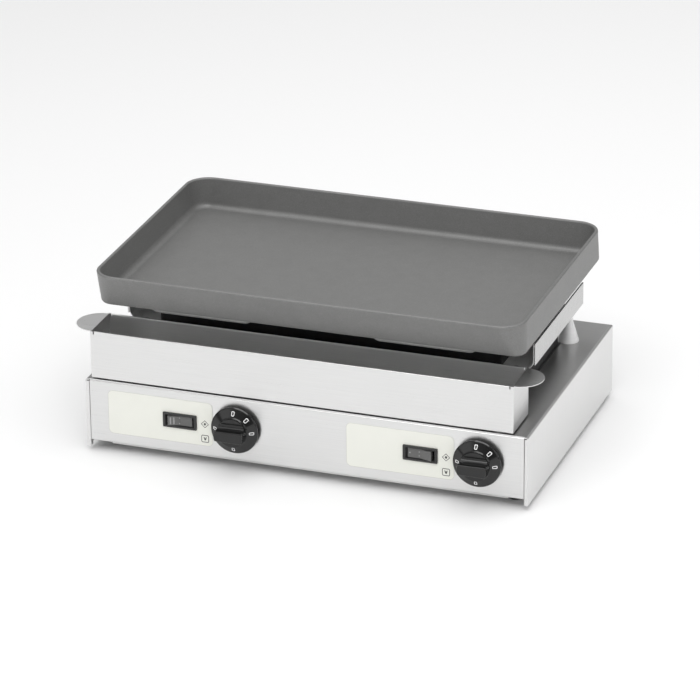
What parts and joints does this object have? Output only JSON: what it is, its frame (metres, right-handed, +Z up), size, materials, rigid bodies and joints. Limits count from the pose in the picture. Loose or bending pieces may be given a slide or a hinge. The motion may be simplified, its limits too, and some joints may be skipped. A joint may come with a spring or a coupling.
{
  "type": "flat top griddle",
  "caption": "Electric countertop griddle: raised cast pan with heating zones, stainless base with knobs and rocker switches, and a pull-out drip trough in front.",
  "frame": {"origin": "on the surface that the feet rest on, below the middle of the whole griddle's outline, trough ears, knobs and cable gland included", "axes": "+X to the operator's right, +Y from the control panel to the rear, +Z up"},
  "size_m": [0.631, 0.4424, 0.2504],
  "materials": {
    "stainless_front": "brushed",
    "stainless_tray": "bright rolled",
    "dark_steel": "dark heat-stained",
    "turned_aluminium": "satin turned",
    "screw_steel": "plated",
    "cast_coating": "satin speckled coating",
    "cast_aluminium": "as cast",
    "decal_cream": "printed matt film",
    "switch_black": "moulded",
    "rocker_grey": "satin",
    "knob_black": "glossy",
    "rubber_black": "matt",
    "gland_plastic": "moulded",
    "brass": "bright",
    "ceramic_white": "unglazed",
    "element_steel": "oxidised",
    "copper_tube": "drawn",
    "wire_red": "silicone"
  },
  "bodies": {
    "base": {"back_panel": "stainless_front", "back_panel_screws": "screw_steel", "bottom_cover": "stainless_front", "cable_gland": "gland_plastic", "capillary_left": "copper_tube", "capillary_right": "copper_tube", "cone_standoffs": "turned_aluminium", "control_panel": "stainless_front", "decal_left": "decal_cream", "decal_right": "decal_cream", "earth_stud": "brass", "foot_nuts": "screw_steel", "foot_screws": "screw_steel", "gland_cap": "gland_plastic", "gland_locknut": "gland_plastic", "heater_box": "dark_steel", "heater_plate_left": "cast_aluminium", "heater_plate_right": "cast_aluminium", "heater_tray": "stainless_tray", "heating_element_left": "element_steel", "heating_element_right": "element_steel", "housing_shell": "stainless_front", "insulation_mat": "ceramic_white", "pan": "cast_coating", "pan_studs": "screw_steel", "pedestal": "dark_steel", "rail_rivets": "screw_steel", "rubber_feet": "rubber_black", "sensor_bulb_left": "element_steel", "sensor_bulb_right": "element_steel", "sensor_clips": "screw_steel", "side_rail_left": "stainless_front", "side_rail_right": "stainless_front", "stud_nuts": "screw_steel", "stud_spacers": "turned_aluminium", "switch_housing_left": "switch_black", "switch_housing_right": "switch_black", "switch_terminals_left": "brass", "switch_terminals_right": "brass", "terminal_block": "ceramic_white", "terminal_screws": "brass", "thermostat_left": "screw_steel", "thermostat_right": "screw_steel", "thermostat_screws": "screw_steel", "thermostat_terminals_left": "brass", "thermostat_terminals_right": "brass", "tray_screws": "screw_steel", "wiring": "wire_red"},
    "knob_left": {"knob_left": "knob_black", "spindle_left": "screw_steel"},
    "knob_right": {"knob_right": "knob_black", "spindle_right": "screw_steel"},
    "rocker_left": {"rocker_left": "rocker_grey"},
    "rocker_right": {"rocker_right": "rocker_grey"},
    "trough": {"trough": "stainless_front"}
  },
  "joints": [
    {"name": "knob_left_turn", "type": "hinge", "parent": "base", "child": "knob_left", "pos_m": [-0.08675, -0.18975, 0.0605], "axis": [0, 1, 0], "range_deg": [0, 270]},
    {"name": "knob_right_turn", "type": "hinge", "parent": "base", "child": "knob_right", "pos_m": [0.24025, -0.18975, 0.0605], "axis": [0, 1, 0], "range_deg": [0, 270]},
    {"name": "rocker_left_press", "type": "hinge", "parent": "base", "child": "rocker_left", "pos_m": [-0.16415, -0.18655, 0.0605], "axis": [0, 0, 1], "range_deg": [-16, 0]},
    {"name": "rocker_right_press", "type": "hinge", "parent": "base", "child": "rocker_right", "pos_m": [0.16285, -0.18655, 0.0605], "axis": [0, 0, 1], "range_deg": [0, 16]},
    {"name": "trough_slide", "type": "slide", "parent": "base", "child": "trough", "axis": [0, -1, 0], "range_m": [0, 0.12]}
  ]
}
